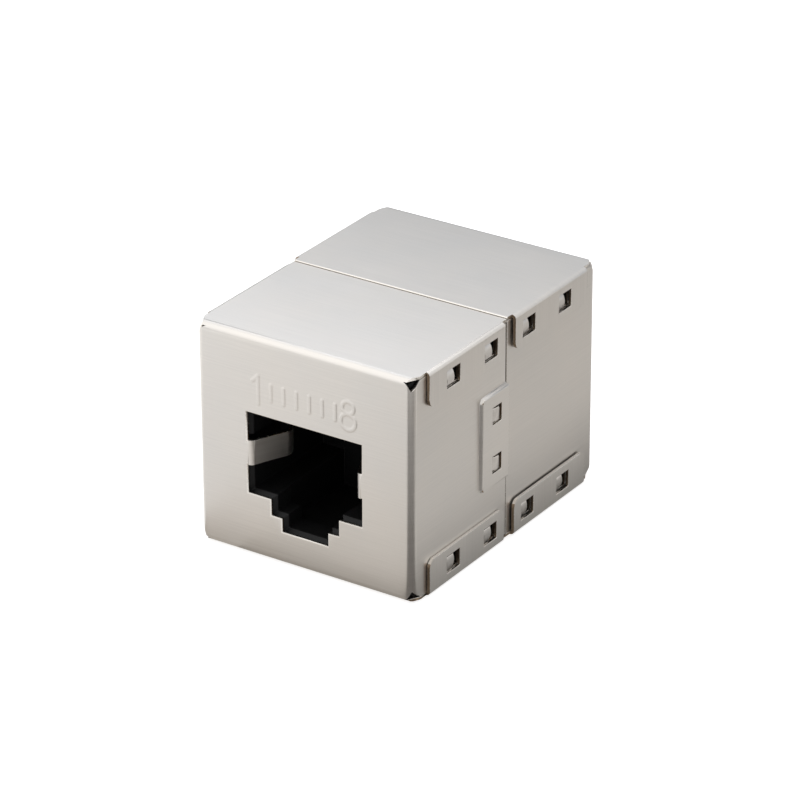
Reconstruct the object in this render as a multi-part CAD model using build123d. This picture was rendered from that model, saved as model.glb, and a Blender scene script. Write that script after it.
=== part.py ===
from build123d import *
import os

# Inline coupler for shielded network plugs: two sockets back to back in a shell folded from thin
# sheet, joined by a circuit board above them. All sizes are in millimetres.
# X runs across the front face, Y from the front face to the rear face, and Z is up.
# The origin is the middle of the footprint, on the surface that the coupler stands on.
# Each half is modelled as the front one, with its face toward -Y, and the rear one is mirrored.

# Shell: two halves of folded sheet that meet at the middle of the length
length = 30.2
width = 22.6
height = 21.7
sheet = 0.3
seam_gap = 0.06
side_set_back = 0.12
front_top_drop = 0.12
face_bend = 0.75
relief_along_face = 0.7
relief_along_side = 1.3
relief_drop = 1.15
relief_tip_share = 0.285
fold_gap = 0.05

# Flanges: the top and bottom plates folded over the outside of the side walls
flange_height = 3.43
flange_bend = 0.4
flange_from_face = 2.25
flange_from_seam = 0.75
flange_corner = 0.8
front_flange_gap = 0.05
rear_flange_gap = 0.15

# Windows in the flanges, and the lanced catches of the side walls that stand in them
window_length = 2.1
window_height = 1.7
window_inset = 0.95
window_shares = (0.4, 0.8)
catch_width = 1.2
catch_rise = 0.32
catch_tip_rise = 0.2
catch_gap = 0.08
hole_past_window = 0.2

# Side joint: a raised panel on the front half covers a tongue of the rear half
panel_length = 4.45
panel_height = 9.3
panel_corner = 0.5
panel_slope = 0.2
panel_clearance = 0.05
tongue_reach = 3.3
tongue_height = 8.2
tongue_corner = 0.6
joint_window_length = 1.5
joint_window_height = 1.7
joint_window_from_seam = 1.25
joint_window_spacing = 4.8
joint_catch_height = 1.3
joint_catch_corner = 0.3

# Socket cut-out in each face: a main opening above two steps for the plug's latch
cutout_width = 12.1
cutout_height = 7.95
step_width = 7.2
step_height = 1.6
slot_width = 4.9
slot_height = 1.32
cutout_drop = 2.185

# Grounding fingers: strips of the face plate bent into the socket
finger_height = 2.4
finger_stand = 0.35
finger_bend = 0.45
finger_lean = 25.0
finger_run = 4.0
finger_curl_bend = 0.8
finger_tip = 1.1
finger_tip_lean = 30.0

# Jack housing: the moulded block behind the face plate
housing_front_gap = 0.15
housing_side_gap = 0.1
housing_top_gap = 0.1
housing_middle_gap = 0.3
mouth_inset = 0.15
mouth_chamfer = 0.45
latch_lip = 2.9
pocket_drop = 0.45
plug_stop_gap = 0.3
finger_recess = 0.9
finger_recess_length = 6.4
finger_recess_gap = 0.25

# Circuit board: it lies in a tray in the tops of the housings
board_above_mouth = 3.6
board_thickness = 1.0
board_width = 17.0
board_from_face = 1.8
board_gap = 0.2
board_hole = 0.8

# Contact springs: eight flat wires that hang from the carrier into the socket
contact_count = 8
contact_pitch = 1.02
wire_width = 0.4
wire_thickness = 0.3
wire_bend = 0.5
wire_above_mouth = 1.7
turn_above_mouth = 0.45
end_below_mouth = 2.55
wire_from_face = 2.25
wire_end_gap = 0.5
leg_rise = 0.55
leg_from_back = 2.5
leg_stagger = 2.2

# Contact carrier: the moulded insert that holds the springs and combs their ends
carrier_width = 9.7
carrier_gap = 0.05
carrier_from_face = 3.3
carrier_from_middle = 1.4
carrier_above_mouth = 0.75
carrier_wall = 0.5
well_from_face = 1.8
comb_depth = 1.9
comb_below_mouth = 2.85
groove_gap = 0.06
comb_gap = 0.11
ear_reach = 1.2
ear_length = 5.0
ear_thickness = 0.8

# How far every cutting shape runs past what it cuts
overrun = 1.0

face_y = -length / 2
end_y = -seam_gap / 2
front_top = height - front_top_drop

# Levels of the cut-out, from the top down
cutout_top = height / 2 - cutout_drop + (cutout_height + step_height + slot_height) / 2
cutout_ledge = cutout_top - cutout_height
step_floor = cutout_ledge - step_height
slot_floor = step_floor - slot_height
finger_level = (cutout_top + cutout_ledge) / 2

# The moulded mouth behind it, and what is stacked above its ceiling
mouth_half = cutout_width / 2 - mouth_inset
ceiling = cutout_top - mouth_inset
carrier_floor = ceiling + carrier_above_mouth
wire_level = ceiling + wire_above_mouth
board_floor = ceiling + board_above_mouth
comb_floor = ceiling - comb_below_mouth

# Places along the front half, from the face back
carrier_front = face_y + carrier_from_face
carrier_back = -carrier_from_middle
comb_front = carrier_back - comb_depth
plug_stop = comb_front - plug_stop_gap


def block(x, y, z):
    """Box between a low and a high value on each axis."""
    size = [high - low for low, high in (x, y, z)]
    middle = [(low + high) / 2 for low, high in (x, y, z)]
    return Pos(*middle) * Box(*size)


def along_x(profile, start, stop):
    """A profile drawn in Y and Z, run from one X to another."""
    return extrude(Plane.YZ.offset(start) * profile, stop - start)


def along_y(profile, start, stop):
    """A profile drawn in X and Z, run from one Y to another."""
    return extrude(Plane.XZ.offset(-start) * profile, start - stop)


def along_z(profile, start, stop):
    """A profile drawn in X and Y, run from one Z to another."""
    return extrude(Plane.XY.offset(start) * profile, stop - start)


def rounded(profile, corner, radius):
    """A flat profile with the corner at a point rounded."""
    return fillet(profile.vertices().sort_by_distance(corner)[0], radius)


def left_too(shape):
    """A shape on the right, and its mirror image on the left."""
    return [shape, mirror(shape, Plane.YZ)]


def four_ways(shape, top):
    """A shape at the upper right of a half, and its copies at the other three corners."""
    right = [shape, mirror(shape, Plane.XY.offset(top / 2))]
    return right + [mirror(copy, Plane.YZ) for copy in right]


def socket_outline(inset):
    """The stepped opening that a plug and its latch pass through, drawn in X and Z."""
    main = cutout_width / 2 - inset
    step = step_width / 2 - inset
    slot = slot_width / 2 - inset
    right = [
        (main, cutout_top - inset),
        (main, cutout_ledge + inset),
        (step, cutout_ledge + inset),
        (step, step_floor + inset),
        (slot, step_floor + inset),
        (slot, slot_floor + inset),
    ]
    left = [(-x, z) for x, z in reversed(right)]
    return make_face(Polyline(*right, *left, close=True))


# Shell


def corner_notch(top):
    """Cut at the upper right corner of the face: it takes off the corner and leaves a V below it."""
    start = Vector(width / 2 - relief_along_face, face_y, top)
    run = Vector(relief_along_face, relief_along_side, 0)
    across = Plane(start, x_dir=run, z_dir=run.cross(Vector(0, 0, 1)))
    tip = (relief_tip_share * run.length, -relief_drop)
    left = (0, -sheet)
    right = (run.length, -sheet)
    off = make_face(Polyline((0, overrun), left, tip, right, (run.length, overrun), close=True))
    hole = make_face(Polyline(left, tip, right, close=True))
    return extrude(across * off, overrun) + extrude(across * hole, -2 * sheet)


def can(top):
    """Face plate and four walls of a half, folded round the face, with a relief at each corner."""
    body = block((-width / 2, width / 2), (face_y, end_y), (0, top))
    body = fillet(body.faces().sort_by(Axis.Y)[0].edges(), face_bend)
    inside = width / 2 - sheet
    hollow = block((-inside, inside), (face_y + sheet, end_y + overrun), (sheet, top - sheet))
    hollow = fillet(hollow.faces().sort_by(Axis.Y)[0].edges(), face_bend - sheet)
    body -= hollow
    side_gap = block(
        (inside, width / 2 + overrun),
        (face_y + face_bend, end_y + overrun),
        (top - sheet - fold_gap, top - sheet),
    )
    return body - four_ways(side_gap, top) - four_ways(corner_notch(top), top)


def window_middles():
    """Y of the middle of each window in a flange."""
    return [face_y * (1 - share) for share in window_shares]


def flange(top, gap):
    """The upper right flange, with its fold, rounded free corners and windows."""
    outside = width / 2 + gap + sheet
    foot = top - flange_height
    root = width / 2 - sheet
    points = [
        (root, top),
        (outside, top),
        (outside, foot),
        (outside - sheet, foot),
        (outside - sheet, top - sheet),
        (root, top - sheet),
    ]
    profile = make_face(Polyline(*points, close=True))
    profile = rounded(profile, (outside, top), flange_bend)
    profile = rounded(profile, (outside - sheet, top - sheet), flange_bend - sheet)
    strip = along_y(profile, face_y + flange_from_face, end_y - flange_from_seam)
    strip = fillet(strip.edges().filter_by(Axis.X).group_by(Axis.Z)[0], flange_corner)
    for middle in window_middles():
        strip -= block(
            (width / 2, outside + overrun),
            (middle - window_length / 2, middle + window_length / 2),
            (top - window_inset - window_height, top - window_inset),
        )
    return strip


def catch_side(room):
    """Side view of a lanced catch that leaves a wall at the origin and bows out over its hole."""
    reach = room - 3 * catch_gap
    outer = ThreePointArc((0, 0), (reach / 2, catch_rise), (reach, catch_tip_rise))
    inner = Pos(0, -sheet) * outer
    root = Line((0, 0), (0, -sheet))
    tip = Line((reach, catch_tip_rise), (reach, catch_tip_rise - sheet))
    return make_face(Curve() + [outer, inner, root, tip])


def wall_catches(top, near_face):
    """Catches of the upper right side wall, toward its face or its seam, and their lanced holes."""
    catches = []
    holes = []
    root = top - window_inset - catch_gap
    toward = -1 if near_face else 1
    for middle in window_middles():
        edge = middle + toward * window_length / 2
        beside = edge + toward * catch_gap
        beyond = middle - toward * (window_length / 2 + hole_past_window)
        low = top - window_inset - window_height + catch_gap
        holes.append(
            block(
                (width / 2 - sheet - overrun, width / 2 + catch_gap),
                sorted((beside, beyond)),
                (low, root),
            )
        )
        start = edge + catch_width if near_face else edge
        plane = Plane((width / 2, start, root), x_dir=(0, 0, -1), z_dir=(0, -1, 0))
        catches.append(extrude(plane * catch_side(window_height), catch_width))
    return catches, holes


def folded_half(top, gap, near_face):
    """One half of the shell before its side joints and socket are made."""
    catches, holes = wall_catches(top, near_face)
    half = can(top)
    for hole in holes:
        half -= four_ways(hole, top)
    half += four_ways(flange(top, gap), top)
    for catch in catches:
        half += four_ways(catch, top)
    return half


def ground_finger():
    """The right-hand finger: it bends off the cut-out's edge into the socket and curls back."""
    middle_y = face_y + sheet / 2
    root = cutout_width / 2
    bend = Vector(root - finger_stand, middle_y)
    knee = bend + Vector(0, finger_run).rotate(Axis.Z, finger_lean)
    tip = knee + Vector(0, finger_tip).rotate(Axis.Z, -finger_tip_lean)
    path = FilletPolyline((root + sheet, middle_y), bend, knee, tip, radius=[finger_bend, finger_curl_bend])
    strip = trace(path, sheet)
    return along_z(strip, finger_level - finger_height / 2, finger_level + finger_height / 2)


def with_socket(half):
    """A half with the plug opening cut in its face and its two grounding fingers."""
    half -= along_y(socket_outline(0), face_y - overrun, face_y + sheet + overrun)
    half += left_too(ground_finger())
    return half


def joint_levels():
    """Z of the middle of the upper and the lower window of the side joint."""
    return [height / 2 + side * joint_window_spacing / 2 for side in (1, -1)]


def raised_panel():
    """Outer form of the right-hand panel, which runs past the seam."""
    start = end_y - panel_length
    stop = end_y + overrun + panel_corner
    rise = sheet + panel_clearance
    place = Pos((start + stop) / 2, height / 2)
    base = place * RectangleRounded(stop - start, panel_height, panel_corner)
    crown = place * RectangleRounded(
        stop - start - 2 * panel_slope,
        panel_height - 2 * panel_slope,
        panel_corner - panel_slope,
    )
    low = Plane.YZ.offset(width / 2) * base
    high = Plane.YZ.offset(width / 2 + rise) * crown
    return loft([low, high], ruled=True)


def with_panels(half):
    """The front half with a raised panel on each side, open at the seam, with two windows each."""
    panel = raised_panel()
    rise = sheet + panel_clearance
    half += left_too(panel)
    half -= left_too(Pos(-sheet, 0, 0) * panel)
    panel_top = (height + panel_height) / 2
    for start, foot in ((end_y, sheet), (end_y - side_set_back, panel_top)):
        beyond = block(
            (width / 2 - sheet - overrun, width / 2 + rise + overrun),
            (start, end_y + panel_length),
            (foot, front_top - sheet),
        )
        half -= left_too(beyond)
    near = -joint_window_from_seam
    for level in joint_levels():
        window = block(
            (width / 2 - sheet, width / 2 + rise + overrun),
            (near - joint_window_length, near),
            (level - joint_window_height / 2, level + joint_window_height / 2),
        )
        half -= left_too(window)
    return half


def with_tongues(half):
    """The rear half, before it is mirrored, with a tongue on each side and two catches on each."""
    tongue = block(
        (width / 2 - sheet, width / 2),
        (end_y - sheet, tongue_reach),
        (height / 2 - tongue_height / 2, height / 2 + tongue_height / 2),
    )
    tongue = chamfer(tongue.edges().filter_by(Axis.X).group_by(Axis.Y)[-1], tongue_corner)
    root = joint_window_from_seam + joint_window_length - catch_gap
    for level in joint_levels():
        low = level - joint_catch_height / 2
        high = level + joint_catch_height / 2
        tongue -= block(
            (width / 2 - sheet - overrun, width / 2 + overrun),
            (joint_window_from_seam + catch_gap, root),
            (low - catch_gap, high + catch_gap),
        )
        plane = Plane((width / 2, root, low), x_dir=(0, -1, 0), z_dir=(0, 0, 1))
        catch = extrude(plane * catch_side(joint_window_length), joint_catch_height)
        tongue += chamfer(catch.edges().filter_by(Axis.X).group_by(Axis.Y)[0], joint_catch_corner)
    return half + left_too(tongue)


# Jack housing


def ear_limits():
    """Y of the front and the back of the carrier's ears, halfway along the carrier."""
    middle = (carrier_front + carrier_back) / 2
    return middle - ear_length / 2, middle + ear_length / 2


def jack_housing():
    """Moulded block with the stepped mouth, latch pocket, contact well and board tray."""
    front = face_y + sheet + housing_front_gap
    back = -housing_middle_gap
    side = width / 2 - sheet - housing_side_gap
    body = block((-side, side), (front, back), (sheet, front_top - sheet - housing_top_gap))
    body = chamfer(body.faces().sort_by(Axis.Y)[0].edges(), face_bend - sheet)

    # The mouth has a chamfered lead-in, and its latch channel widens behind a lip.
    lead_in = loft(
        [
            Plane.XZ.offset(-front) * socket_outline(mouth_inset - mouth_chamfer),
            Plane.XZ.offset(-front - mouth_chamfer) * socket_outline(mouth_inset),
        ],
        ruled=True,
    )
    body -= lead_in
    body -= along_y(socket_outline(mouth_inset), front, face_y + latch_lip + overrun)
    body -= block((-mouth_half, mouth_half), (front, plug_stop), (cutout_ledge + mouth_inset, ceiling))
    pocket_half = step_width / 2
    pocket_floor = slot_floor - pocket_drop
    body -= block((-pocket_half, pocket_half), (face_y + latch_lip, plug_stop), (pocket_floor, ceiling))
    reach = finger_height / 2 + finger_recess_gap
    recess = block(
        (mouth_half, mouth_half + finger_recess),
        (front - overrun, face_y + finger_recess_length),
        (finger_level - reach, finger_level + reach),
    )
    body -= left_too(recess)

    # The board lies in a tray, and the contact carrier hangs in a well below it.
    tray_half = board_width / 2 + board_gap
    body -= block((-tray_half, tray_half), (front - overrun, back + overrun), (board_floor, height))
    well_half = carrier_width / 2 + carrier_gap
    well_back = carrier_back + carrier_gap
    well_front = face_y + well_from_face
    body -= block((-well_half, well_half), (well_front, well_back), (ceiling - overrun, height))
    body -= block((-well_half, well_half), (plug_stop, well_back), (comb_floor - carrier_gap, height))
    ear_half = carrier_width / 2 + ear_reach + carrier_gap
    ear_front, ear_back = ear_limits()
    return body - block(
        (-ear_half, ear_half),
        (ear_front - carrier_gap, ear_back + carrier_gap),
        (board_floor - ear_thickness, height),
    )


# Contacts, carrier and board


def contact_places():
    """X of each spring, and Y of the leg that goes up through the board."""
    places = []
    for i in range(contact_count):
        x = (i - (contact_count - 1) / 2) * contact_pitch
        y = carrier_back - leg_from_back - (i % 2) * leg_stagger
        places.append((x, y))
    return places


def contact(x, leg_y):
    """One spring: leg, run along the carrier, turn at the front, and slope down to the comb."""
    turn = face_y + wire_from_face
    points = [
        (leg_y, board_floor + board_thickness + leg_rise),
        (leg_y, wire_level),
        (turn, wire_level),
        (turn, ceiling + turn_above_mouth),
        (carrier_back - carrier_wall - wire_end_gap, ceiling - end_below_mouth),
    ]
    path = FilletPolyline(*points, radius=wire_bend)
    return along_x(trace(path, wire_thickness), x - wire_width / 2, x + wire_width / 2)


def contact_carrier():
    """Insert with a groove for each spring on top, a comb at the back and an ear on each side."""
    half = carrier_width / 2
    body = block((-half, half), (carrier_front, carrier_back), (carrier_floor, board_floor))
    body += block((-half, half), (comb_front, carrier_back), (comb_floor, board_floor))
    ear_half = half + ear_reach
    body += block((-ear_half, ear_half), ear_limits(), (board_floor - ear_thickness, board_floor))
    groove_half = wire_width / 2 + groove_gap
    slot_half = wire_width / 2 + comb_gap
    for x, leg_y in contact_places():
        body -= block(
            (x - groove_half, x + groove_half),
            (carrier_front - overrun, leg_y + wire_thickness / 2 + groove_gap),
            (wire_level - wire_thickness / 2, board_floor + overrun),
        )
        body -= block(
            (x - slot_half, x + slot_half),
            (comb_front - overrun, carrier_back - carrier_wall),
            (comb_floor - overrun, carrier_floor),
        )
    return body


def circuit_board():
    """Board over both sockets, drilled for the legs of the springs."""
    board_front = face_y + board_from_face
    body = block(
        (-board_width / 2, board_width / 2),
        (board_front, -board_front),
        (board_floor, board_floor + board_thickness),
    )
    middle = board_floor + board_thickness / 2
    for x, y in contact_places():
        drill = Pos(x, y, middle) * Cylinder(board_hole / 2, board_thickness + overrun)
        body -= [drill, mirror(drill, Plane.XZ)]
    return body


# Both ends


def to_rear(shape):
    """The rear end's copy of a piece of the front end."""
    return mirror(shape, Plane.XZ)


front_half = with_socket(folded_half(front_top, front_flange_gap, near_face=True))
rear_half = with_socket(folded_half(height, rear_flange_gap, near_face=False))
nodes = {
    "front_shell": with_panels(front_half),
    "rear_shell": to_rear(with_tongues(rear_half)),
    "front_jack_housing": jack_housing(),
    "front_contact_carrier": contact_carrier(),
    "circuit_board": circuit_board(),
}
nodes["rear_jack_housing"] = to_rear(nodes["front_jack_housing"])
nodes["rear_contact_carrier"] = to_rear(nodes["front_contact_carrier"])
for number, place in enumerate(contact_places(), start=1):
    nodes[f"front_contact_{number}"] = contact(*place)
    nodes[f"rear_contact_{number}"] = to_rear(contact(*place))

os.makedirs("parts", exist_ok=True)
for name, shape in nodes.items():
    export_step(shape, f"parts/{name}.step")
    print(name, len(shape.solids()), round(shape.volume, 3), "valid" if shape.is_valid else "not valid")
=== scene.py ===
"""Dressed scene of a shielded inline network coupler: finishes, face marks, studio and camera."""

import logging
import math
from dataclasses import dataclass, field
from enum import Enum

import bmesh
import bpy
from mathutils import Matrix, Vector
from mathutils.bvhtree import BVHTree


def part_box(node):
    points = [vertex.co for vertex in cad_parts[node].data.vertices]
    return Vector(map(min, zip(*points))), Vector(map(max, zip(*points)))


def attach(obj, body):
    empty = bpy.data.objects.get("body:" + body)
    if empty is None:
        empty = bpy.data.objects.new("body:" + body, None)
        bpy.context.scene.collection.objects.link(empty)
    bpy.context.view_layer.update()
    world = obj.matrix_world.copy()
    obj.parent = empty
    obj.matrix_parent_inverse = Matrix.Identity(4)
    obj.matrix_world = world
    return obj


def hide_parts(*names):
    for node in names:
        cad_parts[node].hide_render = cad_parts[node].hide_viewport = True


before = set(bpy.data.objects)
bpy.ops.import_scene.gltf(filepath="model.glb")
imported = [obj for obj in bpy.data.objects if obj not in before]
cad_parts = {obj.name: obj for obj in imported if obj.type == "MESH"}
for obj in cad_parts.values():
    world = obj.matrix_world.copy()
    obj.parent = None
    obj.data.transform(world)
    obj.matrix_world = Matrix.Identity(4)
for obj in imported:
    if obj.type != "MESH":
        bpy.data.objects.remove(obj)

MM = 0.001
BODY = "root"

# Two points or levels nearer than this are the same.
SAME_MM = 0.001
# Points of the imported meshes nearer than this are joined.
WELD_MM = 0.0005
# Faces that turn by less than this are one flat.
FLAT_TURN = math.radians(0.4)
# A bend's own steps turn by less than this, and an edge of the sheet by more.
EDGE_TURN = math.radians(28)
# Shading breaks where a surface turns by more than this.
SHADING_BREAK = math.radians(40)
# An edge shorter than this many widths of its rounding stays sharp.
SHORTEST_EDGE_WIDTHS = 3.5
# A point that a rounding throws off its form by more than this share of its width goes back.
STRAY_SHARE = 0.6

log = logging.getLogger("coupler")

Colour = tuple[float, float, float, float]
Point = tuple[float, float, float]


class End(Enum):
    """The two ends of the coupler, by the way that their face looks along Y."""

    FRONT = -1
    REAR = 1

    @property
    def label(self) -> str:
        """The end's name as the CAD nodes spell it."""
        return self.name.lower()


class Wall(Enum):
    """The parts of the sheet blank that are folded to different sides."""

    FACE = "face"
    TOP = "top"
    BOTTOM = "bottom"
    SIDE = "side"


class Skin(Enum):
    """The material slots of a shell half."""

    PLATED = 0
    SHEARED = 1
    # The third slot's lighter colour is a painted highlight on edge roundings and on cuts that face up.
    PAINTED_HIGHLIGHT = 2


def linear(hex_colour: str) -> Colour:
    """Turn an sRGB hex value into the linear colour that a socket takes.

    Args:
        hex_colour: A colour such as "#D9D4CD".

    Returns:
        Red, green, blue and alpha, from 0 to 1.
    """
    parts = [int(hex_colour[i : i + 2], 16) / 255 for i in (1, 3, 5)]
    red, green, blue = (c / 12.92 if c <= 0.04045 else ((c + 0.055) / 1.055) ** 2.4 for c in parts)
    return red, green, blue, 1.0


def smooth_step(low: float, high: float, value: float) -> float:
    """Ease from 0 at the low value to 1 at the high one."""
    share = min(max((value - low) / (high - low), 0.0), 1.0)
    return share * share * (3 - 2 * share)


def add_node(
    tree: bpy.types.NodeTree,
    kind: str,
    props: dict[str, object] | None = None,
    values: dict[str | int, object] | None = None,
    links: dict[str | int, bpy.types.NodeSocket] | None = None,
) -> bpy.types.Node:
    """Add a node with its settings and links.

    Args:
        tree: The tree that gets the node.
        kind: The node's type name.
        props: Properties of the node itself.
        values: Values of its inputs, by name or number.
        links: Outputs that feed its inputs, by the input's name or number.

    Returns:
        The new node.
    """
    node = tree.nodes.new(kind)
    for key, value in (props or {}).items():
        setattr(node, key, value)
    for key, value in (values or {}).items():
        node.inputs[key].default_value = value
    for key, output in (links or {}).items():
        tree.links.new(output, node.inputs[key])
    return node


def new_material(name: str) -> tuple[bpy.types.Material, bpy.types.Node]:
    """Make an empty material.

    Args:
        name: What the material is.

    Returns:
        The material and its output node.
    """
    material = bpy.data.materials.new(name)
    material.use_nodes = True
    material.node_tree.nodes.clear()
    return material, add_node(material.node_tree, "ShaderNodeOutputMaterial")


# Finishes


@dataclass(frozen=True)
class SatinNickelPlate:
    """Satin nickel on cold-rolled steel strip: a pale warm grey with a soft sheen and a fine grain."""

    name: str = "satin_nickel_plated_strip"
    colour: str = "#DDD7D0"
    cool_colour: str = "#D6D3CF"
    roughness: float = 0.36
    # The rolling grain is about 0.02 mm wide on the real strip. It is drawn coarser so that it shows.
    grain_width_mm: float = 0.14
    grain_length_mm: float = 9.0
    grain_depth_mm: float = 0.0012
    # Slow changes in tone from the plating bath, some millimetres across
    cloud_mm: float = 7.0

    def make(self) -> bpy.types.Material:
        """Build the material; its grain runs along the first axis of the sheet's own UV map.

        Returns:
            The material.
        """
        material, output = new_material(self.name)
        tree = material.node_tree
        uv = add_node(tree, "ShaderNodeUVMap", props={"uv_map": "grain"})
        stretch = add_node(
            tree,
            "ShaderNodeMapping",
            values={"Scale": (1 / self.grain_length_mm, 1 / self.grain_width_mm, 1)},
            links={"Vector": uv.outputs["UV"]},
        )
        grain = add_node(
            tree,
            "ShaderNodeTexNoise",
            values={"Scale": 1.0, "Detail": 3.0, "Roughness": 0.6},
            links={"Vector": stretch.outputs["Vector"]},
        )
        place = add_node(tree, "ShaderNodeTexCoord")
        cloud = add_node(
            tree,
            "ShaderNodeTexNoise",
            values={"Scale": 1 / (self.cloud_mm * MM), "Detail": 2.0, "Roughness": 0.5},
            links={"Vector": place.outputs["Object"]},
        )
        tone = add_node(
            tree,
            "ShaderNodeMixRGB",
            values={"Color1": linear(self.colour), "Color2": linear(self.cool_colour)},
            links={"Fac": cloud.outputs["Fac"]},
        )
        streak = add_node(
            tree,
            "ShaderNodeMapRange",
            values={"From Min": 0.3, "From Max": 0.7, "To Min": 0.93, "To Max": 1.0},
            links={"Value": grain.outputs["Fac"]},
        )
        colour = add_node(
            tree,
            "ShaderNodeMixRGB",
            props={"blend_type": "MULTIPLY"},
            values={"Fac": 1.0},
            links={"Color1": tone.outputs["Color"], "Color2": streak.outputs["Result"]},
        )
        sheen = add_node(
            tree,
            "ShaderNodeMapRange",
            values={
                "From Min": 0.3,
                "From Max": 0.7,
                "To Min": self.roughness - 0.05,
                "To Max": self.roughness + 0.05,
            },
            links={"Value": grain.outputs["Fac"]},
        )
        bump = add_node(
            tree,
            "ShaderNodeBump",
            values={"Strength": 1.0, "Distance": self.grain_depth_mm * MM},
            links={"Height": grain.outputs["Fac"]},
        )
        surface = add_node(
            tree,
            "ShaderNodeBsdfPrincipled",
            values={"Metallic": 1.0},
            links={
                "Base Color": colour.outputs["Color"],
                "Roughness": sheen.outputs["Result"],
                "Normal": bump.outputs["Normal"],
            },
        )
        tree.links.new(surface.outputs["BSDF"], output.inputs["Surface"])
        return material


@dataclass(frozen=True)
class GrainyFinish:
    """A finish of one material with fine random grain: its name, colours, gloss and texture size."""

    name: str
    colour: str
    other_colour: str
    metallic: float
    roughness: float
    roughness_spread: float
    grain_mm: float
    grain_depth_mm: float
    coat: float = 0.0
    ior: float = 1.5

    def make(self) -> bpy.types.Material:
        """Build the material, with the grain in colour, roughness and height.

        Returns:
            The material.
        """
        material, output = new_material(self.name)
        tree = material.node_tree
        place = add_node(tree, "ShaderNodeTexCoord")
        grain = add_node(
            tree,
            "ShaderNodeTexNoise",
            values={"Scale": 1 / (self.grain_mm * MM), "Detail": 4.0, "Roughness": 0.6},
            links={"Vector": place.outputs["Object"]},
        )
        colour = add_node(
            tree,
            "ShaderNodeMixRGB",
            values={"Color1": linear(self.colour), "Color2": linear(self.other_colour)},
            links={"Fac": grain.outputs["Fac"]},
        )
        gloss = add_node(
            tree,
            "ShaderNodeMapRange",
            values={
                "From Min": 0.25,
                "From Max": 0.75,
                "To Min": self.roughness - self.roughness_spread,
                "To Max": self.roughness + self.roughness_spread,
            },
            links={"Value": grain.outputs["Fac"]},
        )
        bump = add_node(
            tree,
            "ShaderNodeBump",
            values={"Strength": 1.0, "Distance": self.grain_depth_mm * MM},
            links={"Height": grain.outputs["Fac"]},
        )
        surface = add_node(
            tree,
            "ShaderNodeBsdfPrincipled",
            values={"Metallic": self.metallic, "Coat Weight": self.coat, "IOR": self.ior},
            links={
                "Base Color": colour.outputs["Color"],
                "Roughness": gloss.outputs["Result"],
                "Normal": bump.outputs["Normal"],
            },
        )
        tree.links.new(surface.outputs["BSDF"], output.inputs["Surface"])
        return material


# Sheared steel edge: the punch leaves bare warm metal, dull and dark beside the plated faces.
SHEARED_EDGE = GrainyFinish("sheared_strip_edge", "#8D7C6B", "#A69480", 1.0, 0.45, 0.1, 0.12, 0.004)

# Plating over each edge's rolled corner and over cuts that face up: smoother than the faces, and painted
# lighter as a highlight.
EDGE_FINISH_WITH_PAINTED_HIGHLIGHT = GrainyFinish("rubbed_nickel_edge", "#E2DED8", "#D8D2CA", 1.0, 0.26, 0.04, 0.3, 0.0005)

# Black glass-filled PBT, moulded against spark-eroded steel: near black, with a dull even sparkle.
MOULDED_PBT = GrainyFinish(
    "moulded_black_pbt", "#0C0C0D", "#161617", 0.0, 0.5, 0.08, 0.09, 0.004, ior=1.33
)

# Black liquid-crystal polymer, moulded thin: a little glossier than the housing, with flow streaks.
MOULDED_LCP = GrainyFinish("moulded_black_lcp", "#141415", "#1E1E20", 0.0, 0.38, 0.06, 0.2, 0.002)

# Gold flash over stamped phosphor bronze: deep yellow, bright, with faint drawing marks.
GOLD_FLASH = GrainyFinish("gold_flashed_bronze", "#D9A94E", "#C8963C", 1.0, 0.24, 0.05, 0.25, 0.0006)

# Green solder mask on glass-fibre laminate: a glossy skin over a faint woven ground.
SOLDER_MASK = GrainyFinish("green_solder_mask", "#1C5B33", "#17502C", 0.0, 0.3, 0.06, 0.6, 0.001, 0.3)

# Routed laminate edge: pale yellow-green resin with broken fibre ends, quite dull.
LAMINATE_EDGE = GrainyFinish("routed_laminate_edge", "#A9A56B", "#8C8B52", 0.0, 0.75, 0.1, 0.08, 0.01)

# Tin-silver solder, frozen from the melt: silver grey, smooth and a little frosty.
SOLDER = GrainyFinish("frozen_solder", "#C9C9C6", "#B9B9B7", 1.0, 0.3, 0.1, 0.3, 0.002)


# Meshes


def copy_of_node(node_name: str) -> bmesh.types.BMesh:
    """Copy a CAD node's mesh, with its doubled points joined.

    Args:
        node_name: The CAD node.

    Returns:
        The copy, to be changed and kept in a piece of its own.
    """
    mesh = bmesh.new()
    mesh.from_mesh(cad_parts[node_name].data)
    bmesh.ops.remove_doubles(mesh, verts=mesh.verts, dist=WELD_MM * MM)
    mesh.normal_update()
    return mesh


def join_flats(mesh: bmesh.types.BMesh) -> None:
    """Join the triangles of each flat into large faces, but not across a change of material.

    Args:
        mesh: The mesh to change.
    """
    bmesh.ops.dissolve_limit(
        mesh,
        angle_limit=FLAT_TURN,
        verts=mesh.verts,
        edges=mesh.edges,
        delimit={"MATERIAL"},
    )


def sharp_edges(mesh: bmesh.types.BMesh) -> list[bmesh.types.BMEdge]:
    """List the edges at which a mesh turns by more than a bend's own steps."""
    return [e for e in mesh.edges if len(e.link_faces) == 2 and e.calc_face_angle() > EDGE_TURN]


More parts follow.
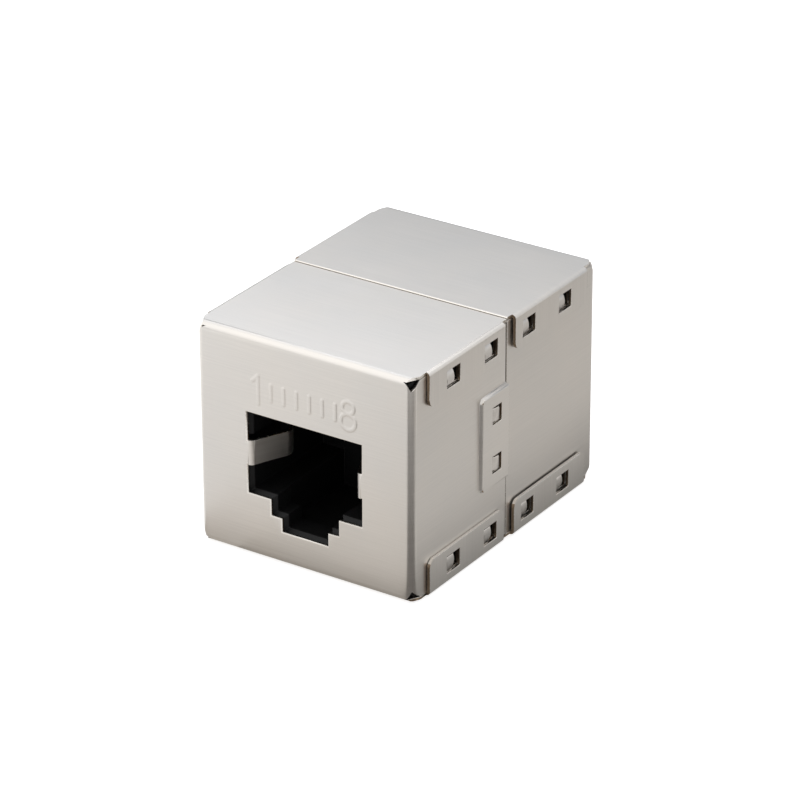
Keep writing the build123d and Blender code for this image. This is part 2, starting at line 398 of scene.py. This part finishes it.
def round_edges(
    mesh: bmesh.types.BMesh,
    edges: list[bmesh.types.BMEdge],
    width_mm: float,
    steps: int,
    skin: int = -1,
) -> None:
    """Round some edges of a mesh, and pull back any point that the rounding throws off its form.

    Args:
        mesh: The mesh to change.
        edges: The edges to round.
        width_mm: How far the rounding reaches on each side of the edge.
        steps: The number of faces across the rounding.
        skin: The material slot of the new faces, or -1 for that of their neighbours.
    """
    form = BVHTree.FromBMesh(mesh)
    bmesh.ops.bevel(
        mesh,
        geom=edges,
        offset=width_mm * MM,
        offset_type="OFFSET",
        segments=steps,
        profile=0.5,
        affect="EDGES",
        clamp_overlap=False,
        material=skin,
    )
    reach = STRAY_SHARE * width_mm * MM
    for point in mesh.verts:
        near, _, _, distance = form.find_nearest(point.co)
        if distance > reach:
            point.co = near
    mesh.normal_update()


def finish_piece(
    mesh: bmesh.types.BMesh,
    name: str,
    materials: list[bpy.types.Material],
    stands_for: str | None,
) -> bpy.types.Object:
    """Turn a mesh into a smooth-shaded piece that rides on the coupler.

    Args:
        mesh: The mesh, which is freed.
        name: The piece's name.
        materials: Its materials, in the order of its faces' slots.
        stands_for: The CAD node that it replaces, if any.

    Returns:
        The new object.
    """
    for face in mesh.faces:
        face.smooth = True
    data = bpy.data.meshes.new(name)
    mesh.to_mesh(data)
    mesh.free()
    for material in materials:
        data.materials.append(material)
    data.set_sharp_from_angle(angle=SHADING_BREAK)
    piece = bpy.data.objects.new(name, data)
    bpy.context.scene.collection.objects.link(piece)
    weights = piece.modifiers.new("even_shading", "WEIGHTED_NORMAL")
    weights.keep_sharp = True
    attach(piece, BODY)
    if stands_for:
        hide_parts(stands_for)
    log.info("%s: %d faces", name, len(data.polygons))
    return piece


# Face marks


@dataclass
class PinMarks:
    """Raised contact numbers over the socket: 1 and 8 at the ends and a tick for each one between."""

    pitch_mm: float = 1.35
    middle_z_mm: float = 16.6
    figure_height_mm: float = 2.7
    tick_height_mm: float = 1.5
    stroke_mm: float = 0.32
    flank_mm: float = 0.16
    rise_mm: float = 0.06
    half_width_mm: float = 6.0
    half_height_mm: float = 1.74
    step_mm: float = 0.06

    def strokes(self) -> list[tuple[float, float, float, float]]:
        """List the straight strokes: the figure 1 and the ticks.

        Returns:
            Start and end points, in millimetres from the middle of the row.
        """
        first = -3.5 * self.pitch_mm
        half = self.figure_height_mm / 2
        flag = half * 0.45
        lines = [(first, -half, first, half), (first, half, first - flag, half - flag)]
        half_tick = self.tick_height_mm / 2
        for number in range(1, 7):
            x = first + number * self.pitch_mm
            lines.append((x, -half_tick, x, half_tick))
        return lines

    def rings(self) -> list[tuple[float, float, float]]:
        """List the round strokes of the figure 8.

        Returns:
            Middle points and radii, in millimetres from the middle of the row.
        """
        last = 3.5 * self.pitch_mm
        upper = self.figure_height_mm * 0.22
        lower = self.figure_height_mm / 2 - upper
        half = self.figure_height_mm / 2
        return [(last, half - upper, upper), (last, -half + lower, lower)]

    def rise_at(self, x: float, z: float) -> float:
        """How far the sheet is raised at a point.

        Args:
            x: Distance to the right of the middle of the row, in millimetres.
            z: Distance above it, in millimetres.

        Returns:
            The rise in millimetres.
        """
        nearest = self.half_width_mm
        for x0, z0, x1, z1 in self.strokes():
            run = Vector((x1 - x0, z1 - z0))
            share = ((x - x0) * run.x + (z - z0) * run.y) / run.length_squared
            share = min(max(share, 0.0), 1.0)
            nearest = min(nearest, math.hypot(x - x0 - share * run.x, z - z0 - share * run.y))
        for x0, z0, radius in self.rings():
            nearest = min(nearest, abs(math.hypot(x - x0, z - z0) - radius))
        half = self.stroke_mm / 2
        return self.rise_mm * (1 - smooth_step(half - self.flank_mm / 2, half + self.flank_mm / 2, nearest))

    def emboss(self, mesh: bmesh.types.BMesh, end: End, face_y: float) -> None:
        """Set a fine grid with the raised marks into the flat of a face plate.

        Args:
            mesh: The shell half.
            end: The end that it closes.
            face_y: Where the face lies on Y, in metres.
        """
        flat = [
            f
            for f in mesh.faces
            if f.normal.y * end.value > math.cos(FLAT_TURN)
            and abs(f.calc_center_median().y - face_y) < SAME_MM * MM
        ]
        kept = set(flat)
        rim = [e for f in flat for e in f.edges if not all(g in kept for g in e.link_faces)]
        bmesh.ops.delete(mesh, geom=flat, context="FACES")
        rim = [e for e in rim if e.is_valid]
        columns = round(2 * self.half_width_mm / self.step_mm)
        rows = round(2 * self.half_height_mm / self.step_mm)
        grid = []
        for j in range(rows + 1):
            z = -self.half_height_mm + j * self.step_mm
            line = []
            for i in range(columns + 1):
                x = -self.half_width_mm + i * self.step_mm
                rise = self.rise_at(x, z)
                place = (-x * end.value, face_y / MM + end.value * rise, self.middle_z_mm + z)
                line.append(mesh.verts.new(Vector(place) * MM))
            grid.append(line)
        for low, high in zip(grid, grid[1:]):
            for a, b, c, d in zip(low, low[1:], high[1:], high):
                mesh.faces.new((a, b, c, d))
        border = grid[0] + [line[-1] for line in grid[1:-1]] + grid[-1][::-1]
        border += [line[0] for line in reversed(grid[1:-1])]
        loop = [mesh.edges.get((a, b)) for a, b in zip(border, border[1:] + border[:1])]
        facing = Vector((0, end.value, 0))
        filled = bmesh.ops.triangle_fill(mesh, edges=rim + loop, normal=facing, use_beauty=True)
        for face in filled["geom"]:
            if isinstance(face, bmesh.types.BMFace) and face.normal.dot(facing) < 0:
                face.normal_flip()
        mesh.normal_update()


# Shell


@dataclass
class ShellHalf:
    """One folded half of the metal shell."""

    end: End
    plate: SatinNickelPlate
    length_mm: float = 30.2
    width_mm: float = 22.6
    top_mm: float = 21.7
    sheet_mm: float = 0.3
    bend_mm: float = 0.75
    flange_height_mm: float = 3.43
    bend_round_mm: float = 0.12
    edge_round_mm: float = 0.035
    rim_round_mm: float = 0.12
    seam_round_mm: float = 0.1
    # The corner reliefs reach this far across, back and down from the corners of the face.
    relief_mm: Point = (1.6, 2.5, 1.6)
    # A face this far outside the walls, and this little past a flange's edge, belongs to the flange.
    wall_margin_mm: float = 0.02
    flange_margin_mm: float = 0.1
    marks: PinMarks = field(default_factory=PinMarks)

    def build(self) -> bpy.types.Object:
        """Copy the CAD half, sort its faces, round its edges and dress it.

        Returns:
            The finished piece.
        """
        node = f"{self.end.label}_shell"
        mesh = copy_of_node(node)
        join_flats(mesh)
        self.find_cut_edges(mesh)
        self.soften(mesh)
        self.marks.emboss(mesh, self.end, self.end.value * self.length_mm / 2 * MM)
        self.lay_grain(mesh)
        materials = [self.plate.make(), SHEARED_EDGE.make(), EDGE_FINISH_WITH_PAINTED_HIGHLIGHT.make()]
        return finish_piece(mesh, f"{node}_sheet", materials, node)

    def soften(self, mesh: bmesh.types.BMesh) -> None:
        """Round the bends between plated faces widely, then the top seam, the rims and the other cuts.

        Args:
            mesh: The shell half, with its cut edges found.
        """
        plated = Skin.PLATED.value
        sharp = sharp_edges(mesh)
        bends = [e for e in sharp if all(f.material_index == plated for f in e.link_faces)]
        bends = [e for e in bends if self.is_long(e, self.bend_round_mm) and not self.near_relief(e)]
        round_edges(mesh, bends, self.bend_round_mm, 3)
        # The roundings of the seam, the rims and the cuts get the edge finish whose lighter colour is a
        # painted highlight.
        seam = [e for e in self.cut_rims(mesh) if self.on_top_seam(e)]
        round_edges(mesh, seam, self.seam_round_mm, 4, Skin.PAINTED_HIGHLIGHT.value)
        rims = [e for e in self.cut_rims(mesh) if self.on_face(e)]
        round_edges(mesh, rims, self.rim_round_mm, 3, Skin.PAINTED_HIGHLIGHT.value)
        cuts = [e for e in self.cut_rims(mesh) if self.is_long(e, self.edge_round_mm)]
        round_edges(mesh, cuts, self.edge_round_mm, 2, Skin.PAINTED_HIGHLIGHT.value)

    def is_long(self, edge: bmesh.types.BMEdge, width_mm: float) -> bool:
        """Tell whether an edge has room for a rounding of that width."""
        return edge.calc_length() > SHORTEST_EDGE_WIDTHS * width_mm * MM

    def cut_rims(self, mesh: bmesh.types.BMesh) -> list[bmesh.types.BMEdge]:
        """List the sharp edges between a plated face and a cut one."""
        return [e for e in sharp_edges(mesh) if len({f.material_index for f in e.link_faces}) == 2]

    def on_face(self, edge: bmesh.types.BMEdge) -> bool:
        """Tell whether an edge lies in the outside of the face plate."""
        return all(self.length_mm / 2 * MM - abs(v.co.y) < SAME_MM * MM for v in edge.verts)

    def on_top_seam(self, edge: bmesh.types.BMEdge) -> bool:
        """Tell whether an edge lies in the top plate's outside, beside the other half."""
        level = (self.top_mm - SAME_MM) * MM
        return all(abs(v.co.y) < self.sheet_mm * MM and v.co.z > level for v in edge.verts)

    def near_relief(self, edge: bmesh.types.BMEdge) -> bool:
        """Tell whether an edge is at a corner relief, where there is no room for a wide rounding.

        Args:
            edge: The edge.

        Returns:
            Whether its middle lies within reach of a relief.
        """
        middle = (edge.verts[0].co + edge.verts[1].co) / 2 / MM
        across = self.width_mm / 2 - abs(middle.x)
        back = self.length_mm / 2 - abs(middle.y)
        level = min(middle.z, self.top_mm - middle.z)
        return all(gap < reach for gap, reach in zip((across, back, level), self.relief_mm))

    def find_cut_edges(self, mesh: bmesh.types.BMesh) -> None:
        """Find the faces with more metal behind them than the sheet is thick: those are cut edges.

        A cut that faces up, or lies in the top plate's seam, gets the lighter edge finish as a painted
        highlight from the light above; the others get the bare sheared finish.

        Args:
            mesh: The shell half, with its flats joined.
        """
        tree = BVHTree.FromBMesh(mesh)
        mesh.faces.index_update()
        inset = SAME_MM * MM
        thick = 1.5 * self.sheet_mm * MM
        thick_area = {face.index: 0.0 for face in mesh.faces}
        for triangle in mesh.calc_loop_triangles():
            face = triangle[0].face
            a, b, c = (loop.vert.co for loop in triangle)
            hit = tree.ray_cast((a + b + c) / 3 - face.normal * inset, -face.normal)
            depth = hit[3] if hit[0] else self.width_mm * MM
            if depth > thick:
                thick_area[face.index] += (b - a).cross(c - a).length / 2
        for face in mesh.faces:
            if thick_area[face.index] < face.calc_area() / 2:
                face.material_index = Skin.PLATED.value
            else:
                # Cuts that face up or lie in the seam get the lighter finish: painted light from above.
                over_seam = face.calc_center_median().z > (self.top_mm - self.sheet_mm) * MM
                painted_lit_from_above = face.normal.z > 0.5 or over_seam
                face.material_index = (Skin.PAINTED_HIGHLIGHT if painted_lit_from_above else Skin.SHEARED).value

    def wall_of(self, face: bmesh.types.BMFace) -> Wall:
        """Say which wall of the blank a face belongs to, with the flanges as part of top and bottom.

        Args:
            face: A face of the half.

        Returns:
            Its wall.
        """
        middle = face.calc_center_median() / MM
        normal = face.normal
        reach = self.flange_height_mm + self.flange_margin_mm
        beyond = abs(middle.x) > self.width_mm / 2 + self.wall_margin_mm
        if beyond and middle.z > self.top_mm - reach:
            return Wall.TOP
        if beyond and middle.z < reach:
            return Wall.BOTTOM
        if abs(normal.z) > max(abs(normal.x), abs(normal.y)):
            return Wall.TOP if middle.z > self.top_mm / 2 else Wall.BOTTOM
        if abs(normal.x) > abs(normal.y):
            return Wall.SIDE
        return Wall.FACE

    def lay_grain(self, mesh: bmesh.types.BMesh) -> None:
        """Unfold the half onto its blank, in millimetres, with the grain along the first UV axis.

        Args:
            mesh: The shell half.
        """
        layer = mesh.loops.layers.uv.new("grain")
        for face in mesh.faces:
            wall = self.wall_of(face)
            for loop in face.loops:
                x, y, z = loop.vert.co / MM
                back = self.length_mm / 2 - abs(y)
                side = 1 if x > 0 else -1
                if wall is Wall.TOP:
                    over = z if back < self.bend_mm else self.top_mm
                    loop[layer].uv = (x + side * (self.top_mm - z), over + back)
                elif wall is Wall.BOTTOM:
                    over = z if back < self.bend_mm else 0
                    loop[layer].uv = (x + side * z, over - back)
                elif wall is Wall.SIDE:
                    loop[layer].uv = (x + side * back, z)
                else:
                    loop[layer].uv = (x, z)


# Socket


@dataclass
class Socket:
    """What one end holds inside its shell: housing, carrier and eight springs."""

    end: End
    contact_count: int = 8
    housing_round_mm: float = 0.07
    carrier_round_mm: float = 0.04
    spring_round_mm: float = 0.05

    def build(self) -> None:
        """Build and dress the housing, the carrier and the springs."""
        label = self.end.label
        self.moulding(f"{label}_jack_housing", MOULDED_PBT, self.housing_round_mm)
        self.moulding(f"{label}_contact_carrier", MOULDED_LCP, self.carrier_round_mm)
        metal = GOLD_FLASH.make()
        for number in range(1, self.contact_count + 1):
            self.spring(f"{label}_contact_{number}", metal)

    def moulding(self, node: str, finish: GrainyFinish, round_mm: float) -> None:
        """Copy a moulded node with rounded edges.

        Args:
            node: The CAD node.
            finish: Its plastic.
            round_mm: The size of its edge rounding.
        """
        mesh = copy_of_node(node)
        join_flats(mesh)
        round_edges(mesh, sharp_edges(mesh), round_mm, 2)
        finish_piece(mesh, f"{node}_moulding", [finish.make()], node)

    def spring(self, node: str, metal: bpy.types.Material) -> None:
        """Copy a contact spring with rounded edges.

        Args:
            node: The CAD node.
            metal: The gold-flashed finish that all springs share.
        """
        mesh = copy_of_node(node)
        join_flats(mesh)
        round_edges(mesh, sharp_edges(mesh), self.spring_round_mm, 2)
        finish_piece(mesh, f"{node}_wire", [metal], node)


# Board


@dataclass
class Board:
    """The circuit board over both sockets, with solder where the spring legs come through."""

    edge_round_mm: float = 0.03
    solder_width_mm: float = 1.15
    solder_rise_mm: float = 0.5
    solder_tip_mm: float = 0.22
    solder_hollow: float = 1.8
    solder_sides: int = 16
    solder_rings: int = 5
    contact_count: int = 8
    slot: str = "board_laminate"

    def build(self) -> None:
        """Build the board and its solder joints."""
        mesh = copy_of_node("circuit_board")
        for face in mesh.faces:
            face.material_index = 0 if abs(face.normal.z) > 0.5 else 1
        join_flats(mesh)
        round_edges(mesh, sharp_edges(mesh), self.edge_round_mm, 1)
        materials = [SOLDER_MASK.make(), LAMINATE_EDGE.make()]
        finish_piece(mesh, "circuit_board_laminate", materials, "circuit_board")
        self.solder_joints()

    def solder_joints(self) -> None:
        """Make one piece with a concave cone of solder round every leg on top of the board."""
        mesh = bmesh.new()
        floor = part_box("circuit_board")[1].z
        for end in End:
            for number in range(1, self.contact_count + 1):
                low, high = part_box(f"{end.label}_contact_{number}")
                leg = self.leg_middle(f"{end.label}_contact_{number}", high.z)
                self.cone(mesh, Vector(((low.x + high.x) / 2, leg, floor)))
        finish_piece(mesh, "solder_joints", [SOLDER.make()], None)

    def leg_middle(self, node: str, top: float) -> float:
        """Find where a spring's leg stands on Y, from the points at its top."""
        places = [v.co.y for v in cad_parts[node].data.vertices if v.co.z > top - 0.01 * MM]
        return (min(places) + max(places)) / 2

    def cone(self, mesh: bmesh.types.BMesh, foot: Vector) -> None:
        """Add a concave cone of solder.

        Args:
            mesh: The mesh that gets it.
            foot: The middle of its foot.
        """
        rings = []
        for i in range(self.solder_rings + 1):
            share = i / self.solder_rings
            flare = self.solder_width_mm / 2 * (1 - share) ** self.solder_hollow
            radius = flare + self.solder_tip_mm * share
            ring = []
            for j in range(self.solder_sides):
                angle = 2 * math.pi * j / self.solder_sides
                x, y = radius * math.cos(angle), radius * math.sin(angle)
                ring.append(mesh.verts.new(foot + Vector((x, y, self.solder_rise_mm * share)) * MM))
            rings.append(ring)
        for low, high in zip(rings, rings[1:]):
            for j in range(self.solder_sides):
                k = (j + 1) % self.solder_sides
                mesh.faces.new((low[j], low[k], high[k], high[j]))
        mesh.faces.new(rings[-1])
        mesh.faces.new(rings[0][::-1])


# Studio


@dataclass
class Softbox:
    """A square soft lamp that looks at the coupler."""

    name: str
    toward: Point
    distance_mm: float
    size_mm: float
    level: float
    colour: str = "#FFFFFF"

    def place(self, target: Vector) -> bpy.types.Object:
        """Hang the lamp so that it lights a facing surface at its level.

        Args:
            target: The point that it looks at, in metres.

        Returns:
            The lamp.
        """
        distance = self.distance_mm * MM
        data = bpy.data.lights.new(self.name, "AREA")
        data.shape = "SQUARE"
        data.size = self.size_mm * MM
        data.energy = self.level * math.pi**2 * distance**2
        data.color = linear(self.colour)[:3]
        lamp = bpy.data.objects.new(self.name, data)
        lamp.location = target + Vector(self.toward).normalized() * distance
        lamp.rotation_euler = Vector(self.toward).to_track_quat("Z", "Y").to_euler()
        bpy.context.scene.collection.objects.link(lamp)
        return lamp


@dataclass
class ShadeCard:
    """A glowing graded card seen only in reflections, which paints shade and light into the metal's
    reflections.

    Its shade runs from the near colour at its start to the far colour along its length, and its far
    end fades away, so that it leaves no line in the metal.
    """

    name: str
    start_mm: Point
    along: Point
    across: Point
    reach_mm: float
    low_mm: float
    high_mm: float
    near_colour: str
    far_colour: str
    fade_mm: float
    clear_mm: float
    flare_mm: float = 0.0

    def step(self, tree: bpy.types.NodeTree, start_mm: float, stop_mm: float) -> bpy.types.NodeSocket:
        """Make a soft step from 0 to 1 between two distances along the card.

        Args:
            tree: The material's node tree.
            start_mm: Where the step starts.
            stop_mm: Where it is done.

        Returns:
            The socket that holds the step.
        """
        spot = add_node(tree, "ShaderNodeTexCoord")
        axes = add_node(tree, "ShaderNodeSeparateXYZ", links={0: spot.outputs["Object"]})
        step = add_node(
            tree,
            "ShaderNodeMapRange",
            props={"interpolation_type": "SMOOTHSTEP"},
            values={"From Min": start_mm * MM, "From Max": stop_mm * MM},
            links={"Value": axes.outputs["X"]},
        )
        return step.outputs["Result"]

    def paper(self) -> bpy.types.Material:
        """Make the card's own graded paper.

        Returns:
            The material.
        """
        material, output = new_material(f"{self.name}_paper")
        tree = material.node_tree
        shade = add_node(
            tree,
            "ShaderNodeMixRGB",
            values={"Color1": linear(self.near_colour), "Color2": linear(self.far_colour)},
            links={"Fac": self.step(tree, 0, self.fade_mm)},
        )
        glow = add_node(tree, "ShaderNodeEmission", links={"Color": shade.outputs["Color"]})
        gone = add_node(tree, "ShaderNodeBsdfTransparent")
        mix = add_node(
            tree,
            "ShaderNodeMixShader",
            links={
                0: self.step(tree, self.reach_mm - self.clear_mm, self.reach_mm),
                1: glow.outputs["Emission"],
                2: gone.outputs["BSDF"],
            },
        )
        tree.links.new(mix.outputs["Shader"], output.inputs["Surface"])
        return material

    def place(self) -> bpy.types.Object:
        """Set up the card.

        Returns:
            The card.
        """
        data = bpy.data.meshes.new(self.name)
        low, high, reach, flare = self.low_mm, self.high_mm, self.reach_mm, self.flare_mm
        outline = [(0, low), (reach, low - flare), (reach, high + flare), (0, high)]
        data.from_pydata([(x * MM, y * MM, 0) for x, y in outline], [], [range(4)])
        data.materials.append(self.paper())
        card = bpy.data.objects.new(self.name, data)
        along, across = Vector(self.along).normalized(), Vector(self.across).normalized()
        axes = Matrix((along, across, along.cross(across))).transposed().to_4x4()
        card.matrix_world = Matrix.Translation(Vector(self.start_mm) * MM) @ axes
        bpy.context.scene.collection.objects.link(card)
        for ray in ("camera", "diffuse", "transmission", "shadow", "volume_scatter"):
            setattr(card, f"visible_{ray}", False)
        return card


def soft_lamps() -> list[Softbox]:
    """The lamps: a large key lamp before and above, and two small ones behind.

    Returns:
        The key lamp, the one that lifts the top plates, and the one that lights their folded edge.
    """
    return [
        Softbox("key_lamp", (-0.5, -0.30, 0.81), 300.0, 410.0, 0.325),
        Softbox("back_lamp", (-0.49, 0.67, 0.55), 115.0, 90.0, 0.26, "#EFF3FC"),
        Softbox("fold_lamp", (0.22, 0.75, 0.60), 150.0, 70.0, 0.17),
    ]


def side_cards() -> list[ShadeCard]:
    """The cards that the side wall reflects: dark at its foot, and a little grey far out.

    Returns:
        The near card and the far one.
    """
    near = ShadeCard(
        "side_card",
        start_mm=(11, 0, 0.03),
        along=(1, 0, 0),
        across=(0, 1, 0),
        reach_mm=170,
        low_mm=-14,
        high_mm=160,
        near_colour="#989795",
        far_colour="#DCDAD7",
        fade_mm=11,
        clear_mm=10,
    )
    far = ShadeCard(
        "far_side_card",
        start_mm=(28, 0, 0.05),
        along=(1, 0, 0),
        across=(0, 1, 0),
        reach_mm=180,
        low_mm=-14,
        high_mm=160,
        near_colour="#DCDAD7",
        far_colour="#C6C3BF",
        fade_mm=12,
        clear_mm=20,
    )
    return [near, far]


def front_cards() -> list[ShadeCard]:
    """The cards that the face plate reflects: two that darken its foot, and a faint one to the left.

    Returns:
        The wide card, the shorter one over it, and the one across the front.
    """
    wide = ShadeCard(
        "front_card",
        start_mm=(0, -14.2, 0.04),
        along=(0, -1, 0),
        across=(1, 0, 0),
        reach_mm=20,
        low_mm=-14,
        high_mm=16,
        near_colour="#C2BDB7",
        far_colour="#F0ECE8",
        fade_mm=9,
        clear_mm=13,
    )
    short = ShadeCard(
        "foot_card",
        start_mm=(0, -14.2, 0.06),
        along=(0, -1, 0),
        across=(1, 0, 0),
        reach_mm=16,
        low_mm=-7.5,
        high_mm=16,
        near_colour="#A8A39D",
        far_colour="#E4E0DB",
        fade_mm=7,
        clear_mm=10,
    )
    faint = ShadeCard(
        "front_shade",
        start_mm=(14, -14.2, 0.02),
        along=(-1, 0, 0),
        across=(0, -1, 0),
        reach_mm=60,
        low_mm=0,
        high_mm=120,
        near_colour="#E8E5E1",
        far_colour="#FFFFFF",
        fade_mm=40,
        clear_mm=10,
    )
    return [wide, short, faint]


def corner_card() -> ShadeCard:
    """The wedge-shaped card that the upright bend reflects as its dark band."""
    return ShadeCard(
        "corner_card",
        start_mm=(11, -14.8, 0.08),
        along=(0.74, -0.67, 0),
        across=(0.67, 0.74, 0),
        reach_mm=62,
        low_mm=-2,
        high_mm=2,
        near_colour="#6E6B68",
        far_colour="#84817E",
        fade_mm=62,
        clear_mm=5,
        flare_mm=76,
    )


def rear_card() -> ShadeCard:
    """The upright card behind, which gives the top plates their slope from dark to light."""
    return ShadeCard(
        "rear_card",
        start_mm=(0, 40, 20),
        along=(0, 0, 1),
        across=(1, 0, 0),
        reach_mm=55,
        low_mm=-110,
        high_mm=40,
        near_colour="#AAB2BC",
        far_colour="#F8FBFF",
        fade_mm=27,
        clear_mm=20,
    )


def all_cards() -> list[ShadeCard]:
    """Every card of the studio."""
    return [*side_cards(), corner_card(), *front_cards(), rear_card()]


@dataclass
class Studio:
    """Pale floor, white surroundings, soft lamps and graded cards."""

    floor_half_mm: float = 1500.0
    floor_colour: str = "#CFCFCE"
    floor_lift: float = 0.70
    ambient: float = 0.55
    surroundings: float = 1.0
    target_mm: Point = (0, 0, 10)
    back_colour: str = "#E4E8EC"
    back_toward: Point = (-0.5, 0.75, 0.35)
    lamps: list[Softbox] = field(default_factory=soft_lamps)
    cards: list[ShadeCard] = field(default_factory=all_cards)

    def seen_ray(self, tree: bpy.types.NodeTree) -> bpy.types.NodeSocket:
        """Make a switch that is 1 for what the camera, a reflection or a clear body shows.

        Args:
            tree: The node tree that gets it.

        Returns:
            The socket that holds the switch.
        """
        path = add_node(tree, "ShaderNodeLightPath")
        either = add_node(
            tree,
            "ShaderNodeMath",
            props={"operation": "MAXIMUM"},
            links={0: path.outputs["Is Camera Ray"], 1: path.outputs["Is Glossy Ray"]},
        )
        seen = add_node(
            tree,
            "ShaderNodeMath",
            props={"operation": "MAXIMUM"},
            links={0: either.outputs["Value"], 1: path.outputs["Is Transmission Ray"]},
        )
        return seen.outputs["Value"]

    def build(self) -> None:
        """Make the floor and the surroundings, and set up the lamps and the cards."""
        self.make_floor()
        self.make_surroundings()
        for lamp in self.lamps:
            lamp.place(Vector(self.target_mm) * MM)
        for card in self.cards:
            card.place()

    def make_floor(self) -> None:
        """Lay a white floor that keeps the coupler's shadow."""
        material, output = new_material("painted_floor")
        tree = material.node_tree
        paint = add_node(
            tree,
            "ShaderNodeBsdfPrincipled",
            values={"Base Color": linear(self.floor_colour), "Roughness": 0.8, "Specular IOR Level": 0.1},
        )
        lift = add_node(
            tree,
            "ShaderNodeMath",
            props={"operation": "MULTIPLY"},
            values={1: self.floor_lift},
            links={0: self.seen_ray(tree)},
        )
        glow = add_node(tree, "ShaderNodeEmission", links={"Strength": lift.outputs["Value"]})
        both = add_node(
            tree, "ShaderNodeAddShader", links={0: paint.outputs["BSDF"], 1: glow.outputs["Emission"]}
        )
        tree.links.new(both.outputs["Shader"], output.inputs["Surface"])
        mesh = bmesh.new()
        bmesh.ops.create_grid(mesh, x_segments=1, y_segments=1, size=self.floor_half_mm * MM)
        data = bpy.data.meshes.new("floor")
        mesh.to_mesh(data)
        mesh.free()
        data.materials.append(material)
        floor = bpy.data.objects.new("floor", data)
        bpy.context.scene.collection.objects.link(floor)

    def room_colour(self, tree: bpy.types.NodeTree) -> bpy.types.NodeSocket:
        """Colour the surroundings: white, but a cool pale grey in reflections of the back of the room.

        Args:
            tree: The world's node tree.

        Returns:
            The socket that holds the colour.
        """
        view = add_node(tree, "ShaderNodeTexCoord")
        toward = add_node(
            tree,
            "ShaderNodeVectorMath",
            props={"operation": "DOT_PRODUCT"},
            values={1: Vector(self.back_toward).normalized()},
            links={0: view.outputs["Generated"]},
        )
        back = add_node(
            tree,
            "ShaderNodeMapRange",
            props={"interpolation_type": "SMOOTHSTEP"},
            values={"From Min": 0.4, "From Max": 0.95},
            links={"Value": toward.outputs["Value"]},
        )
        path = add_node(tree, "ShaderNodeLightPath")
        share = add_node(
            tree,
            "ShaderNodeMath",
            props={"operation": "MULTIPLY"},
            links={0: back.outputs["Result"], 1: path.outputs["Is Glossy Ray"]},
        )
        mix = add_node(
            tree,
            "ShaderNodeMixRGB",
            values={"Color1": linear("#FFFFFF"), "Color2": linear(self.back_colour)},
            links={"Fac": share.outputs["Value"]},
        )
        return mix.outputs["Color"]

    def make_surroundings(self) -> None:
        """Light the coupler from all round, and show white wherever nothing stands."""
        world = bpy.data.worlds.new("white_surroundings")
        world.use_nodes = True
        tree = world.node_tree
        tree.nodes.clear()
        ambient = add_node(tree, "ShaderNodeBackground", values={"Strength": self.ambient})
        white = add_node(tree, "ShaderNodeBackground", values={"Strength": self.surroundings})
        ambient.inputs["Color"].default_value = linear("#FFFFFF")
        tree.links.new(self.room_colour(tree), white.inputs["Color"])
        mix = add_node(
            tree,
            "ShaderNodeMixShader",
            links={0: self.seen_ray(tree), 1: ambient.outputs[0], 2: white.outputs[0]},
        )
        add_node(tree, "ShaderNodeOutputWorld", links={"Surface": mix.outputs["Shader"]})
        bpy.context.scene.world = world


@dataclass(frozen=True)
class LongLensCamera:
    """The photograph's viewpoint: a long lens, above and to the right of the front face."""

    place_mm: Point = (187.35, -281.97, 176.26)
    turn: float = 0.5863
    tilt: float = 0.4549
    roll: float = -0.0039
    lens_mm: float = 188.92
    sensor_mm: float = 36.0

    def place(self) -> bpy.types.Object:
        """Make the camera and give it to the scene.

        Returns:
            The camera.
        """
        ahead = Vector(
            (
                -math.sin(self.turn) * math.cos(self.tilt),
                math.cos(self.turn) * math.cos(self.tilt),
                -math.sin(self.tilt),
            )
        )
        right = Vector((math.cos(self.turn), math.sin(self.turn), 0))
        up = right.cross(ahead)
        rolled_right = math.cos(self.roll) * right + math.sin(self.roll) * up
        rolled_up = -math.sin(self.roll) * right + math.cos(self.roll) * up
        data = bpy.data.cameras.new("camera")
        data.lens = self.lens_mm
        data.sensor_width = self.sensor_mm
        data.clip_start = 10 * MM
        data.clip_end = 10000 * MM
        camera = bpy.data.objects.new("camera", data)
        turn = Matrix((rolled_right, rolled_up, -ahead)).transposed().to_4x4()
        camera.matrix_world = Matrix.Translation(Vector(self.place_mm) * MM) @ turn
        bpy.context.scene.collection.objects.link(camera)
        bpy.context.scene.camera = camera
        return camera


def main() -> None:
    """Build the coupler's pieces, the studio and the camera."""
    logging.basicConfig(level=logging.INFO, format="%(name)s %(message)s")
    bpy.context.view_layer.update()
    front_plate = SatinNickelPlate()
    # The rear half gets a darker copy of the same plate: painted shade.
    shaded_rear_plate = SatinNickelPlate(colour="#D9D3CC", cool_colour="#D2CFCB")
    ShellHalf(End.FRONT, front_plate, top_mm=21.58, seam_round_mm=0.02).build()
    ShellHalf(End.REAR, shaded_rear_plate).build()
    for end in End:
        Socket(end).build()
    Board().build()
    Studio().build()
    LongLensCamera().place()
    bpy.context.scene.view_settings.view_transform = "Standard"


if __name__ == "__main__":
    main()
